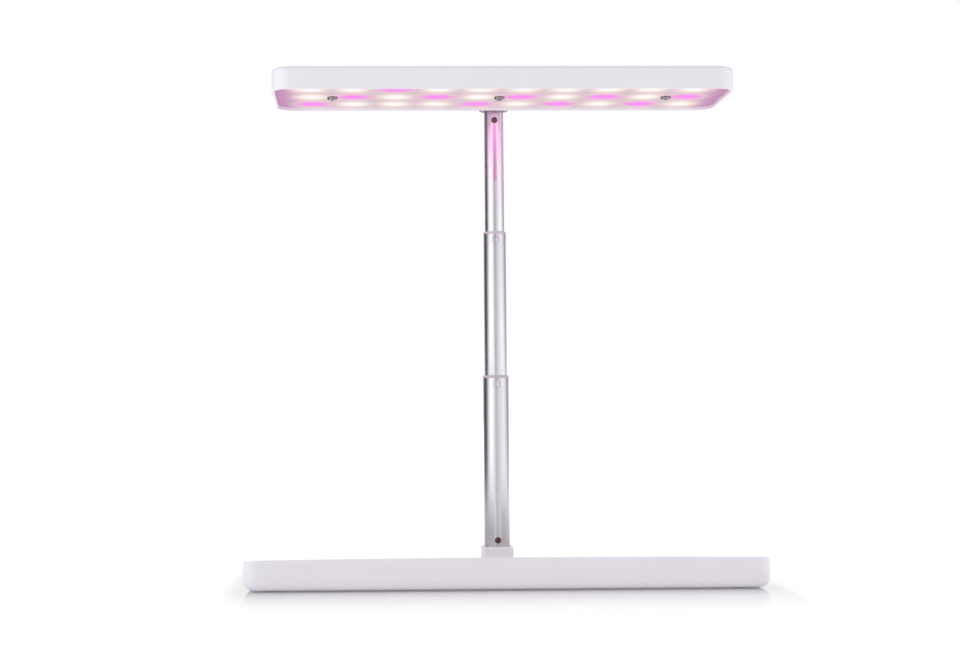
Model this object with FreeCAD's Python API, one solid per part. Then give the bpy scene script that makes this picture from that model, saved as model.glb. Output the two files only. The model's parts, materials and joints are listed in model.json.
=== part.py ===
import FreeCAD, Part
import os
from math import atan2, degrees, sqrt
from FreeCAD import Vector, Rotation, Placement

# Countertop hydroponic garden: a shallow water tray, a telescopic pole at its back
# and a level lamp head over the tray.
# Millimetres. +X to the right, +Y to the back, +Z up.
# The origin is on the table, under the centre of the tray.

# Base tray
tray_width = 478.0
tray_depth = 160.0
tray_corner_radius = 14.0
tray_edge_radius = 9.0
tray_wall = 2.4
foot_stand_off = 0.8
rim_front_z = 30.0
rim_back_z = 13.4
rim_crown = 1.4
inner_corner_radius = 4.0
inner_floor_radius = 3.5

# Rubber feet
foot_radius = 7.0
foot_recess = 1.2
foot_edge_radius = 0.4
foot_inset = 26.0

# Pedestal and socket that carry the pole
pole_from_back = 28.0
socket_side = 30.0
socket_height = 18.1
socket_edge_radius = 3.5
socket_top_radius = 1.2
pedestal_half_width = 30.0
pedestal_top_z = 12.0
partition_gap = 1.6
socket_floor = 3.0
spigot_length = 29.0
spigot_clearance = 0.05
socket_screw_offset = 11.8
socket_screw_length = 12.0
socket_screw_gap = 0.2
spigot_chamfer = 1.0

# Growing grids that lift out of the tray
grid_top_z = 15.5
grid_thickness = 2.0
grid_clearance = 1.2
grid_hole_radius = 2.5
grid_hole_pitch = 10.0
grid_margin = 9.0
lift_tab_width = 18.0
lift_tab_height = 7.0
lift_tab_thickness = 2.2
lift_tab_inset = 22.0
lift_tab_corner = 4.9
lift_tab_clear = 0.5
support_radius = 3.0

# Telescopic pole
tube_wall = 1.0
lower_radius = 12.5
middle_radius = 11.0
upper_radius = 9.5
lower_tube_length = 179.0
middle_section_shows = 141.3
upper_section_shows = 121.9
running_gap = 0.05
bush_skirt = 2.4
lower_bush_lip = 2.4
upper_bush_lip = 2.0
bush_lip_overhang = 0.2
bush_lip_edge_share = 0.3
end_sleeve_length = 8.0

# Snap buttons with their leaf springs
button_below_top = 6.3
button_to_tube_end = 16.0
button_radius = 3.2
button_bore_gap = 0.08
button_window_gap = 0.2
button_face_gap = 0.3
button_flange_thickness = 0.8
button_flange_step = 0.7
button_travel = 2.0
button_tail_radius = 1.5
button_tail_reach = 1.0
spring_thickness = 0.5
spring_width = 6.0
spring_hole_gap = 0.3
spring_wall_gap = 0.05
spring_rest_gap = 0.15
spring_leg_above = 4.0
spring_leg_below = 7.0

# Screws that fix the pole at both ends
fixing_head_radius = 3.0
fixing_head_height = 1.6
fixing_stand_out = 0.3
fixing_shank_radius = 1.5
fixing_shank_length = 6.0
fixing_window_gap = 0.12
fixing_seat_depth = 0.4
fixing_edge_radius = 0.56
fixing_slot_depth = 0.8
lower_fixing_above_socket = 6.6
upper_fixing_below_seat = 10.4

# Key groove in the upper tube
groove_width = 3.4
groove_depth = 0.4
groove_length = 56.5
groove_below_screw = 3.6

# Lamp head
head_width = 425.6
head_depth = 116.5
head_seat_rise = 2.1
head_height = 21.3
head_corner_radius = 17.0
head_top_radius = 4.0
head_rim_radius = 0.8
head_rim_wall = 2.2
head_wall = 4.4
head_roof = 2.4
diffuser_recess = 2.8
diffuser_thickness = 2.0
diffuser_clearance = 0.3
led_gap = 1.7
led_height = 1.0
led_side = 5.0
led_cup_radius = 1.8
led_cup_depth = 0.2
led_pitch_x = 39.4
led_pitch_y = 37.0
led_rows = ("WWPWWWWWWW", "WPWPWPWPWP", "PWWWPWPWPW")
board_thickness = 1.6
board_inset = 5.2
spreader_thickness = 1.5

# Diffuser screws
pan_head_radius = 5.0
pan_head_height = 3.0
pan_shank_radius = 2.0
pan_shank_bite = 6.0
pan_hole_gap = 0.3
post_radius = 4.5
spacer_radius = 3.8
pan_screw_columns = 4.0
pan_dome_share = 0.62
pan_slot_share = 0.45
cross_width_share = 0.28

# Bracket that joins the head to the pole
tongue_radius = 15.5
flange_thickness = 4.3
flange_edge_radius = 1.2
tongue_drop = 1.0
tongue_wall = 2.2
flange_radius = 14.6
hub_clearance = 0.4
hub_height = 8.5
bracket_spigot_length = 27.0
bar_half_width = 11.0
bar_height = 5.0
bracket_plate_half_width = 30.0
bracket_plate_depth = 44.0
bracket_plate_thickness = 3.0
bracket_plate_from_wall = 4.0
slot_gap = 0.2
plate_screw_gap = 0.9
bracket_plate_corner = 4.0
bar_into_plate = 2.0
small_head_radius = 2.6
small_head_height = 1.4
small_shank_radius = 1.4
small_shank_bite = 1.8
small_post_radius = 3.2
small_hole_gap = 0.1
bracket_screw_inset = 6.0

# Electronics in the head
driver_left = 55.0
driver_width = 80.0
driver_depth = 38.0
driver_from_back = 10.5
driver_post_inset = 5.0
driver_post_radius = 2.9
driver_board_gap = 1.6
coil_radius = 7.0
coil_from_left = 24.0
coil_height_share = 0.75
chips = (
    (38.0, 10.0, -5.0, 10.0, 1.4),
    (54.0, 8.0, -9.0, 6.0, 1.8),
    (54.0, 8.0, 2.0, 6.0, 1.2),
)
connector_from_right = 3.0
connector_width = 9.0
connector_depth = 10.0
connector_height = 2.6
connector_forward = 4.0
button_board_width = 30.0
button_board_depth = 14.0
button_screw_inset = 4.0
power_button_x = -95.0
power_button_y = 8.0
power_radius = 6.0
power_running_gap = 0.08
power_proud = 0.5
power_flange_step = 1.2
power_flange_thickness = 1.2
power_flange_gap = 0.2
power_edge_radius = 0.4
dish_radius = 30.0
dish_depth = 0.4
switch_gap = 0.9
switch_side = 6.0
plunger_radius = 1.68
plunger_height = 0.6
inlet_x = 152.0
inlet_radius = 3.9
inlet_bore_radius = 2.85
inlet_bore_depth = 9.5
inlet_length = 13.0
inlet_flange_radius = 4.9
inlet_flange_height = 1.0
inlet_pin_radius = 1.0
inlet_pin_set_back = 1.0
lead_radius = 0.6
lead_spread = 1.6
lead_hole_gap = 0.4
lead_from_board_back = 9.0
lead_reach = 2.0

# Sizes that follow from the ones above
front_y = -tray_depth / 2.0
back_y = tray_depth / 2.0
pole_y = back_y - pole_from_back
tray_bottom_z = foot_stand_off
tray_floor_z = tray_bottom_z + tray_wall
partition_back_y = pole_y - socket_side / 2.0 - partition_gap
partition_front_y = partition_back_y - tray_wall
tube_foot_z = pedestal_top_z + socket_floor
button_flange_radius = button_radius + button_flange_step
socket_top_z = pedestal_top_z + socket_height
lower_top_z = tube_foot_z + lower_tube_length
middle_top_z = lower_top_z + middle_section_shows
head_seat_z = middle_top_z + upper_section_shows
head_bottom_z = head_seat_z - head_seat_rise
lower_fixing_z = socket_top_z + lower_fixing_above_socket
tongue_bottom_z = head_seat_z + flange_thickness
upper_fixing_z = head_seat_z - upper_fixing_below_seat
lower_button_z = lower_top_z - button_below_top
upper_button_z = middle_top_z - button_below_top
middle_foot_z = lower_button_z - button_to_tube_end
upper_foot_z = upper_button_z - button_to_tube_end
head_top_z = head_bottom_z + head_height
head_back_y = pole_y - tongue_radius
head_front_y = head_back_y - head_depth
head_mid_y = head_front_y + head_depth / 2.0
roof_z = head_top_z - head_roof
diffuser_z = head_bottom_z + diffuser_recess
ledge_z = diffuser_z + diffuser_thickness
led_z = ledge_z + led_gap
board_z = led_z + led_height
spreader_z = board_z + board_thickness
spreader_top_z = spreader_z + spreader_thickness
pan_screw_x = pan_screw_columns * led_pitch_x
plate_z = spreader_top_z + small_head_height + plate_screw_gap
plate_top_z = plate_z + bracket_plate_thickness
driver_z = spreader_top_z + driver_board_gap
driver_top_z = driver_z + board_thickness
power_top_z = head_top_z + power_proud
power_flange_z = roof_z - power_flange_gap - power_flange_thickness

os.makedirs("parts", exist_ok=True)


def save(name, shape):
    """Write one piece, and say how many solids and how much volume it has."""
    shape.exportStep("parts/" + name + ".step")
    print(name, len(shape.Solids), round(shape.Volume, 1), shape.isValid())


def rounded_prism(x0, x1, y0, y1, z0, z1, front_radius, back_radius):
    """An upright block with its own corner radius at the front and at the back."""
    corners = (
        (x0, y0, front_radius, 1, 1),
        (x1, y0, front_radius, -1, 1),
        (x1, y1, back_radius, -1, -1),
        (x0, y1, back_radius, 1, -1),
    )
    half = sqrt(0.5)
    arcs = []
    for index, (x, y, r, sx, sy) in enumerate(corners):
        along_y = Vector(x, y + sy * r, z0)
        along_x = Vector(x + sx * r, y, z0)
        middle = Vector(x + sx * r * (1 - half), y + sy * r * (1 - half), z0)
        first, last = (along_y, along_x) if index % 2 == 0 else (along_x, along_y)
        arcs.append((first, middle, last))
    edges = []
    for index, (first, middle, last) in enumerate(arcs):
        edges.append(Part.Arc(first, middle, last).toShape())
        following = arcs[(index + 1) % 4][0]
        if last.distanceToPoint(following) > 1e-6:
            edges.append(Part.LineSegment(last, following).toShape())
    return Part.Face(Part.Wire(edges)).extrude(Vector(0, 0, z1 - z0))


def block(x0, x1, y0, y1, z0, z1):
    return Part.makeBox(x1 - x0, y1 - y0, z1 - z0, Vector(x0, y0, z0))


def rod_z(radius, x, y, z0, z1):
    return Part.makeCylinder(radius, z1 - z0, Vector(x, y, z0))


def rod_y(radius, x, y0, y1, z):
    return Part.makeCylinder(radius, y1 - y0, Vector(x, y0, z), Vector(0, 1, 0))


def ring_z(outer, inner, x, y, z0, z1):
    return rod_z(outer, x, y, z0, z1).cut(rod_z(inner, x, y, z0 - 1, z1 + 1))


def round_edges(shape, radius, wanted):
    """Fillet the edges for which wanted(edge) is true."""
    edges = [edge for edge in shape.Edges if wanted(edge)]
    return shape.makeFillet(radius, edges)


def lies_at(z):
    def test(edge):
        box = edge.BoundBox
        return abs(box.ZMin - z) < 1e-4 and abs(box.ZMax - z) < 1e-4
    return test


def fused(shapes):
    first = shapes[0]
    return first.multiFuse(shapes[1:]).removeSplitter() if len(shapes) > 1 else first


def group(shapes):
    return Part.makeCompound(shapes)


def cross_recess(x, y, z, size, depth, direction):
    """The cross slot in a screw head, sunk along the direction."""
    width = size * cross_width_share
    bars = []
    for a, b in ((size, width), (width, size)):
        bar = Part.makeBox(a, b, depth, Vector(-a / 2.0, -b / 2.0, 0))
        bars.append(bar)
    cross = bars[0].fuse(bars[1])
    cross.Placement = Placement(Vector(x, y, z), Rotation(Vector(0, 0, 1), direction))
    return cross


def pan_screw(x, y, seat_z, head_radius, head_height, shank_radius, shank_length):
    """A screw that goes up from below, with a domed head and a cross slot."""
    head = rod_z(head_radius, x, y, seat_z - head_height, seat_z)
    head = round_edges(head, head_height * pan_dome_share, lies_at(seat_z - head_height))
    shank = rod_z(shank_radius, x, y, seat_z, seat_z + shank_length)
    slot = cross_recess(x, y, seat_z - head_height, head_radius,
                        head_height * pan_slot_share, Vector(0, 0, 1))
    return head.fuse(shank).cut(slot).removeSplitter()


# Base tray

def below_rim():
    """Everything under the crowned rim, which falls gently towards the back."""
    reach = tray_width / 2.0 + 5.0
    step = 5.0
    left = Vector(-reach, front_y - step, rim_front_z - rim_crown)
    right = Vector(reach, front_y - step, rim_front_z - rim_crown)
    under_left = Vector(-reach, front_y - step, -reach)
    under_right = Vector(reach, front_y - step, -reach)
    edges = [
        Part.Arc(left, Vector(0, front_y - step, rim_front_z), right).toShape(),
        Part.LineSegment(right, under_right).toShape(),
        Part.LineSegment(under_right, under_left).toShape(),
        Part.LineSegment(under_left, left).toShape(),
    ]
    solid = Part.Face(Part.Wire(edges)).extrude(Vector(0, tray_depth + 3 * step, 0))
    fall = degrees(atan2(rim_front_z - rim_back_z, tray_depth))
    return solid.rotate(Vector(0, front_y, rim_front_z), Vector(1, 0, 0), -fall)


def foot_places():
    x = tray_width / 2.0 - foot_inset
    y = tray_depth / 2.0 - foot_inset
    return [(-x, -y), (x, -y), (-x, y), (x, y)]


def support_places():
    """Posts on the tray floor, under the growing grids."""
    inner = tray_width / 2.0 - tray_wall
    y_front = front_y + tray_wall + grid_margin
    y_back = partition_front_y - grid_margin
    places = []
    for side in (-1, 1):
        for x in (grid_margin, inner / 2.0, inner - grid_margin):
            places.append((side * x, y_front))
            places.append((side * x, y_back))
    return places


def socket_screw_places():
    o = socket_screw_offset
    return [(sx * o, pole_y + sy * o) for sx in (-1, 1) for sy in (-1, 1)]


def base_tray():
    half = tray_width / 2.0
    inner = half - tray_wall
    inner_radius = tray_corner_radius - tray_wall
    high = rim_front_z + 10.0
    outer = rounded_prism(-half, half, front_y, back_y, tray_bottom_z, high,
                          tray_corner_radius, tray_corner_radius)
    outer = round_edges(outer, tray_edge_radius, lies_at(tray_bottom_z))
    basin = rounded_prism(-inner, inner, front_y + tray_wall, partition_front_y,
                          tray_floor_z, high + 1.0, inner_radius, inner_corner_radius)
    basin = round_edges(basin, inner_floor_radius, lies_at(tray_floor_z))
    channel = rounded_prism(-inner, inner, partition_back_y, back_y - tray_wall,
                            tray_floor_z, high + 1.0, inner_corner_radius, inner_radius)
    channel = round_edges(channel, inner_floor_radius, lies_at(tray_floor_z))
    pedestal = block(-pedestal_half_width, pedestal_half_width,
                     partition_back_y, back_y - tray_wall, tray_bottom_z, pedestal_top_z)
    channel = channel.cut(pedestal)
    pocket = block(-pedestal_half_width + tray_wall, pedestal_half_width - tray_wall,
                   partition_back_y, back_y - tray_edge_radius - tray_wall,
                   tray_bottom_z - 1.0, pedestal_top_z - tray_wall)
    shell = outer.cut(basin).cut(channel).cut(pocket).common(below_rim())
    posts = [rod_z(support_radius, x, y, tray_floor_z - 0.5, grid_top_z - grid_thickness)
             for x, y in support_places()]
    shell = shell.multiFuse(posts)
    holes = [rod_z(small_shank_radius + socket_screw_gap, x, y, 0, pedestal_top_z + 1)
             for x, y in socket_screw_places()]
    holes += [rod_z(foot_radius, x, y, 0, tray_bottom_z + foot_recess)
              for x, y in foot_places()]
    return shell.cut(holes).removeSplitter()


def rubber_feet():
    pads = []
    for x, y in foot_places():
        pad = rod_z(foot_radius, x, y, 0, tray_bottom_z + foot_recess)
        pads.append(round_edges(pad, foot_edge_radius, lies_at(0)))
    return group(pads)


def growing_grid(side):
    """A perforated plate with a lift tab, on one side of the tray."""
    near = grid_clearance / 2.0
    far = tray_width / 2.0 - tray_wall - grid_clearance
    y0 = front_y + tray_wall + grid_clearance
    y1 = partition_front_y - grid_clearance
    z0 = grid_top_z - grid_thickness
    radius = tray_corner_radius - tray_wall - grid_clearance
    plate = rounded_prism(near, far, y0, y1, z0, grid_top_z, inner_corner_radius, inner_corner_radius)
    outline = rounded_prism(-far, far, y0, y1, z0, grid_top_z, radius, inner_corner_radius)
    plate = plate.common(outline)
    columns = int((far - near - 2 * grid_margin) / grid_hole_pitch) + 1
    rows = int((y1 - y0 - 2 * grid_margin) / grid_hole_pitch) + 1
    first_x = (near + far - (columns - 1) * grid_hole_pitch) / 2.0
    first_y = (y0 + y1 - (rows - 1) * grid_hole_pitch) / 2.0
    tab_x = far - lift_tab_inset
    tab_y = (y0 + y1) / 2.0
    holes = []
    for column in range(columns):
        for row in range(rows):
            x = first_x + column * grid_hole_pitch
            y = first_y + row * grid_hole_pitch
            clear_x = lift_tab_thickness / 2.0 + grid_hole_radius + lift_tab_clear
            clear_y = lift_tab_width / 2.0 + grid_hole_radius
            if abs(x - tab_x) > clear_x or abs(y - tab_y) > clear_y:
                holes.append(rod_z(grid_hole_radius, x, y, z0 - 1, grid_top_z + 1))
    plate = plate.cut(group(holes))
    tab = block(tab_x - lift_tab_thickness / 2.0, tab_x + lift_tab_thickness / 2.0,
                tab_y - lift_tab_width / 2.0, tab_y + lift_tab_width / 2.0,
                z0 + 0.5, grid_top_z + lift_tab_height)
    top = grid_top_z + lift_tab_height
    tab = round_edges(tab, lift_tab_corner,
                      lambda e: e.BoundBox.YLength < 1e-4 and abs(e.BoundBox.ZMin - top) < 1e-4)
    grid = plate.fuse(tab).removeSplitter()
    return grid if side > 0 else grid.mirror(Vector(0, 0, 0), Vector(1, 0, 0))


# Pole

def pole_socket():
    half = socket_side / 2.0
    body = rounded_prism(-half, half, pole_y - half, pole_y + half,
                         pedestal_top_z, socket_top_z, socket_edge_radius, socket_edge_radius)
    body = round_edges(body, socket_top_radius, lies_at(socket_top_z))
    seat = rod_z(lower_radius + spigot_clearance, 0, pole_y, tube_foot_z, socket_top_z + 1)
    spigot_radius = lower_radius - tube_wall - spigot_clearance
    spigot = rod_z(spigot_radius, 0, pole_y, tube_foot_z - 0.5, tube_foot_z + spigot_length)
    tip = lies_at(tube_foot_z + spigot_length)
    spigot = spigot.makeChamfer(spigot_chamfer, [edge for edge in spigot.Edges if tip(edge)])
    socket = body.cut(seat).fuse(spigot)
    for x, y in socket_screw_places():
        socket = socket.cut(rod_z(small_shank_radius, x, y, pedestal_top_z - 1,
                                  pedestal_top_z - tray_wall + socket_screw_length))
    return socket.cut(fixing_space(spigot_radius, lower_fixing_z)).removeSplitter()


def fixing_head_depth(spigot_radius):
    """How far in front of the pole axis the seat of a fixing screw lies."""
    return spigot_radius - fixing_seat_depth


def fixing_space(spigot_radius, z):
    """The flat seat and the hole for a fixing screw in a spigot."""
    seat = fixing_head_depth(spigot_radius)
    flat = rod_y(fixing_head_radius + fixing_window_gap, 0, pole_y - spigot_radius - 1, pole_y - seat, z)
    hole = rod_y(fixing_shank_radius, 0, pole_y - spigot_radius, pole_y - seat + fixing_shank_length, z)
    return flat.fuse(hole)


def fixing_screw(tube_radius, z):
    """A round headed screw that stands a little out of the tube."""
    seat = fixing_head_depth(tube_radius - tube_wall - spigot_clearance)
    front = pole_y - tube_radius - fixing_stand_out
    head = rod_y(fixing_head_radius, 0, front, pole_y - seat, z)
    rim = [e for e in head.Edges if abs(e.BoundBox.YMin - front) < 1e-4 and e.BoundBox.YLength < 1e-4]
    head = head.makeFillet(fixing_edge_radius, rim)
    shank = rod_y(fixing_shank_radius, 0, pole_y - seat, pole_y - seat + fixing_shank_length, z)
    slot = cross_recess(0, front, z, fixing_head_radius, fixing_slot_depth, Vector(0, 1, 0))
    return head.fuse(shank).cut(slot).removeSplitter()


def fixing_window(tube_radius, z):
    return rod_y(fixing_head_radius + fixing_window_gap, 0,
                 pole_y - tube_radius - 1, pole_y - tube_radius / 2.0, z)


def tube(radius, z0, z1):
    return ring_z(radius, radius - tube_wall, 0, pole_y, z0, z1)


def lower_tube():
    body = tube(lower_radius, tube_foot_z, lower_top_z)
    window = rod_y(button_radius + button_window_gap, 0, pole_y - lower_radius - 1,
                   pole_y - lower_radius / 2.0, lower_button_z)
    return body.cut(window).cut(fixing_window(lower_radius, lower_fixing_z))


def middle_tube():
    body = tube(middle_radius, middle_foot_z, middle_top_z)
    bore = rod_y(button_radius + button_bore_gap, 0, pole_y - middle_radius - 1,
                 pole_y - middle_radius / 2.0, lower_button_z)
    window = rod_y(button_radius + button_window_gap, 0, pole_y - middle_radius - 1,
                   pole_y - middle_radius / 2.0, upper_button_z)
    return body.cut(bore).cut(window)


def upper_tube():
    body = tube(upper_radius, upper_foot_z, head_seat_z)
    bore = rod_y(button_radius + button_bore_gap, 0, pole_y - upper_radius - 1,
                 pole_y - upper_radius / 2.0, upper_button_z)
    groove_top = upper_fixing_z - groove_below_screw
    groove = block(-groove_width / 2.0, groove_width / 2.0, pole_y - upper_radius - 1,
                   pole_y - upper_radius + groove_depth, groove_top - groove_length, groove_top)
    return body.cut(bore).cut(groove).cut(fixing_window(upper_radius, upper_fixing_z))


def guide_bush(outer_radius, inner_radius, top_z, lip):
    """A plastic ring on the end of the outer tube, with a skirt inside it."""
    bore = inner_radius + running_gap
    collar = ring_z(outer_radius + bush_lip_overhang, bore, 0, pole_y, top_z, top_z + lip)
    collar = round_edges(collar, lip * bush_lip_edge_share,
                         lambda e: lies_at(top_z + lip)(e) and e.BoundBox.XMax > bore + running_gap)
    skirt = ring_z(outer_radius - tube_wall, bore, 0, pole_y, top_z - bush_skirt, top_z)
    return collar.fuse(skirt).removeSplitter()


def end_sleeve(outer_radius, inner_radius, foot_z):
    """A thin bearing sleeve on the foot of the inner tube."""
    return ring_z(outer_radius - tube_wall - running_gap, inner_radius, 0, pole_y,
                  foot_z, foot_z + end_sleeve_length)


def button_flange_front(inner_radius):
    """Distance from the pole axis to the front of the button's flange."""
    bore = inner_radius - tube_wall
    return sqrt(bore ** 2 - button_flange_radius ** 2) - button_face_gap


def spring_front(inner_radius):
    """Distance from the pole axis to the front face of the spring's front leg."""
    return button_flange_front(inner_radius) - button_flange_thickness - button_travel - spring_rest_gap


def snap_button(outer_radius, inner_radius, z):
    """A button whose face follows the bore of the outer tube."""
    face = outer_radius - tube_wall - button_face_gap
    flange_front = button_flange_front(inner_radius)
    flange_back = flange_front - button_flange_thickness
    tail_end = spring_front(inner_radius) - spring_thickness - button_tail_reach
    stem = rod_y(button_radius, 0, pole_y - face - 1, pole_y - flange_back, z)
    stem = stem.common(rod_z(face, 0, pole_y, z - 10, z + 10))
    flange = rod_y(button_flange_radius, 0, pole_y - flange_front, pole_y - flange_back, z)
    tail = rod_y(button_tail_radius, 0, pole_y - flange_front, pole_y - tail_end, z)
    return stem.fuse(flange).fuse(tail).removeSplitter()


def snap_spring(inner_radius, z):
    """A bent leaf: one leg on the back of the bore, the other round the button's tail."""
    bore = inner_radius - tube_wall
    half = spring_width / 2.0
    back = sqrt(bore ** 2 - half ** 2) - spring_wall_gap
    front = -spring_front(inner_radius)
    t = spring_thickness
    centre = (front + back) / 2.0
    outer = (back - front) / 2.0
    arch_z = z + spring_leg_above
    start = Vector(-half, pole_y + centre, arch_z)
    arch = Part.makeCylinder(outer, spring_width, start, Vector(1, 0, 0))
    arch = arch.cut(Part.makeCylinder(outer - t, spring_width, start, Vector(1, 0, 0)))
    arch = arch.cut(block(-half, half, pole_y - bore, pole_y + bore, arch_z - 2 * bore, arch_z))
    legs = [
        block(-half, half, pole_y + front, pole_y + front + t, z - spring_leg_below, arch_z),
        block(-half, half, pole_y + back - t, pole_y + back, z - spring_leg_below, arch_z),
    ]
    eye = rod_y(button_tail_radius + spring_hole_gap, 0, pole_y + front - 1, pole_y + front + t + 1, z)
    return fused([arch] + legs).cut(eye)


# Lamp head

def head_outline(inset, z0, z1):
    half = head_width / 2.0 - inset
    radius = head_corner_radius - inset
    return rounded_prism(-half, half, head_front_y + inset, head_back_y - inset, z0, z1, radius, radius)


def pan_screw_places():
    return [(x, head_mid_y) for x in (-pan_screw_x, 0, pan_screw_x)]


def bracket_plate_back():
    return head_back_y - head_wall - bracket_plate_from_wall


def bracket_screw_places():
    x = bracket_plate_half_width - bracket_screw_inset
    back = bracket_plate_back()
    front = back - bracket_plate_depth
    return [(sx * x, y) for sx in (-1, 1) for y in (front + bracket_screw_inset, back - bracket_screw_inset)]


def driver_box():
    y1 = head_back_y - driver_from_back
    return driver_left, driver_left + driver_width, y1 - driver_depth, y1


def driver_screw_places():
    x0, x1, y0, y1 = driver_box()
    i = driver_post_inset
    return [(x, y) for x in (x0 + i, x1 - i) for y in (y0 + i, y1 - i)]


def button_screw_places():
    reach = button_board_width / 2.0 - button_screw_inset
    return [(power_button_x - reach, power_button_y), (power_button_x + reach, power_button_y)]


def tongue(inset, z0, z1):
    radius = tongue_radius - inset
    body = block(-radius, radius, head_back_y - head_wall, pole_y, z0, z1)
    return body.fuse(rod_z(radius, 0, pole_y, z0, z1)).removeSplitter()


def head_housing():
    shell = head_outline(0, head_bottom_z, head_top_z)
    shell = round_edges(shell, head_top_radius, lies_at(head_top_z))
    shell = round_edges(shell, head_rim_radius, lies_at(head_bottom_z))
    back = tongue(0, tongue_bottom_z, head_top_z - tongue_drop)
    back = round_edges(back, tongue_wall, lies_at(head_top_z - tongue_drop))
    shell = shell.fuse(back)
    shell = shell.cut(head_outline(head_rim_wall, head_bottom_z - 1, ledge_z))
    shell = shell.cut(head_outline(head_wall, ledge_z - 1, roof_z))
    hollow = rod_z(tongue_radius - tongue_wall, 0, pole_y, tongue_bottom_z - 1, roof_z - tongue_drop)
    shell = shell.cut(hollow)
    slot = block(-bar_half_width - slot_gap, bar_half_width + slot_gap, head_back_y - head_wall - 1, pole_y,
                 plate_top_z - bar_height - slot_gap, plate_top_z + slot_gap)
    shell = shell.cut(slot)
    posts = [rod_z(post_radius, x, y, spreader_top_z, roof_z + 0.5) for x, y in pan_screw_places()]
    posts += [rod_z(small_post_radius, x, y, plate_top_z, roof_z + 0.5) for x, y in bracket_screw_places()]
    posts += [rod_z(driver_post_radius, x, y, driver_top_z, roof_z + 0.5)
              for x, y in driver_screw_places() + button_screw_places()]
    shell = shell.multiFuse(posts)
    holes = [rod_z(pan_shank_radius, x, y, spreader_top_z - 1, spreader_top_z + pan_shank_bite)
             for x, y in pan_screw_places()]
    holes += [rod_z(small_shank_radius, x, y, plate_top_z - 1, plate_top_z + small_shank_bite)
              for x, y in bracket_screw_places()]
    holes += [rod_z(small_shank_radius, x, y, driver_top_z - 1, driver_top_z + small_shank_bite)
              for x, y in driver_screw_places() + button_screw_places()]
    holes.append(rod_z(power_radius + power_running_gap, power_button_x, power_button_y,
                       roof_z - 1, head_top_z + 1))
    holes.append(rod_y(inlet_radius, inlet_x, head_back_y - head_wall - 1, head_back_y + 1, inlet_z()))
    return shell.cut(holes).removeSplitter()


def diffuser():
    sheet = head_outline(head_rim_wall + diffuser_clearance, diffuser_z, ledge_z)
    holes = [rod_z(pan_shank_radius + pan_hole_gap, x, y, diffuser_z - 1, ledge_z + 1)
             for x, y in pan_screw_places()]
    return sheet.cut(holes)


def board_holes(z0, z1):
    return [rod_z(pan_shank_radius + pan_hole_gap, x, y, z0, z1) for x, y in pan_screw_places()]


def led_lead_places():
    x0, x1, y0, y1 = driver_box()
    middle = (y0 + y1) / 2.0
    x = x0 + driver_post_inset
    return [(x, middle - lead_spread), (x, middle + lead_spread)]


def heat_spreader():
    plate = head_outline(board_inset, spreader_z, spreader_top_z)
    wire_holes = [rod_z(lead_radius + lead_hole_gap, x, y, spreader_z - 1, spreader_top_z + 1)
                  for x, y in led_lead_places()]
    return plate.cut(board_holes(spreader_z - 1, spreader_top_z + 1) + wire_holes)


def led_board():
    return head_outline(board_inset, board_z, spreader_z).cut(board_holes(board_z - 1, spreader_z + 1))


def leds(kind):
    """The light emitters of one kind, each with a shallow round lens cup in its face."""
    pieces = []
    columns = len(led_rows[0])
    for row, letters in enumerate(led_rows):
        for column, letter in enumerate(letters):
            if letter == kind:
                x = (column - (columns - 1) / 2.0) * led_pitch_x
                y = head_mid_y + (row - 1) * led_pitch_y
                body = block(x - led_side / 2.0, x + led_side / 2.0,
                             y - led_side / 2.0, y + led_side / 2.0, led_z, board_z)
                cup = rod_z(led_cup_radius, x, y, led_z - 1, led_z + led_cup_depth)
                pieces.append(body.cut(cup))
    return group(pieces)


def diffuser_spacers():
    return group([ring_z(spacer_radius, pan_shank_radius + pan_hole_gap, x, y, ledge_z, board_z)
                  for x, y in pan_screw_places()])


def diffuser_screws():
    length = spreader_top_z + pan_shank_bite - diffuser_z
    return group([pan_screw(x, y, diffuser_z, pan_head_radius, pan_head_height, pan_shank_radius, length)
                  for x, y in pan_screw_places()])


def head_bracket():
    hub_radius = tongue_radius - tongue_wall - hub_clearance
    flange = rod_z(flange_radius, 0, pole_y, head_seat_z, tongue_bottom_z)
    flange = round_edges(flange, flange_edge_radius, lies_at(head_seat_z))
    hub = rod_z(hub_radius, 0, pole_y, tongue_bottom_z, plate_top_z)
    spigot_radius = upper_radius - tube_wall - spigot_clearance
    spigot = rod_z(spigot_radius, 0, pole_y, head_seat_z - bracket_spigot_length, head_seat_z + 0.5)
    back = bracket_plate_back()
    bar = block(-bar_half_width, bar_half_width, back - bar_into_plate, pole_y,
                plate_top_z - bar_height, plate_top_z)
    plate = rounded_prism(-bracket_plate_half_width, bracket_plate_half_width,
                          back - bracket_plate_depth, back, plate_z, plate_top_z,
                          bracket_plate_corner, bracket_plate_corner)
    bracket = fused([flange, hub, spigot, bar, plate])
    holes = [rod_z(small_shank_radius + small_hole_gap, x, y, plate_z - 1, plate_top_z + 1)
             for x, y in bracket_screw_places()]
    return bracket.cut(holes + [fixing_space(spigot_radius, upper_fixing_z)]).removeSplitter()


def small_screws(places, seat_z, grip):
    return group([pan_screw(x, y, seat_z, small_head_radius, small_head_height,
                            small_shank_radius, grip + small_shank_bite) for x, y in places])


def socket_screws():
    seat = pedestal_top_z - tray_wall
    return group([pan_screw(x, y, seat, small_head_radius, small_head_height,
                            small_shank_radius, socket_screw_length) for x, y in socket_screw_places()])


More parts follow.
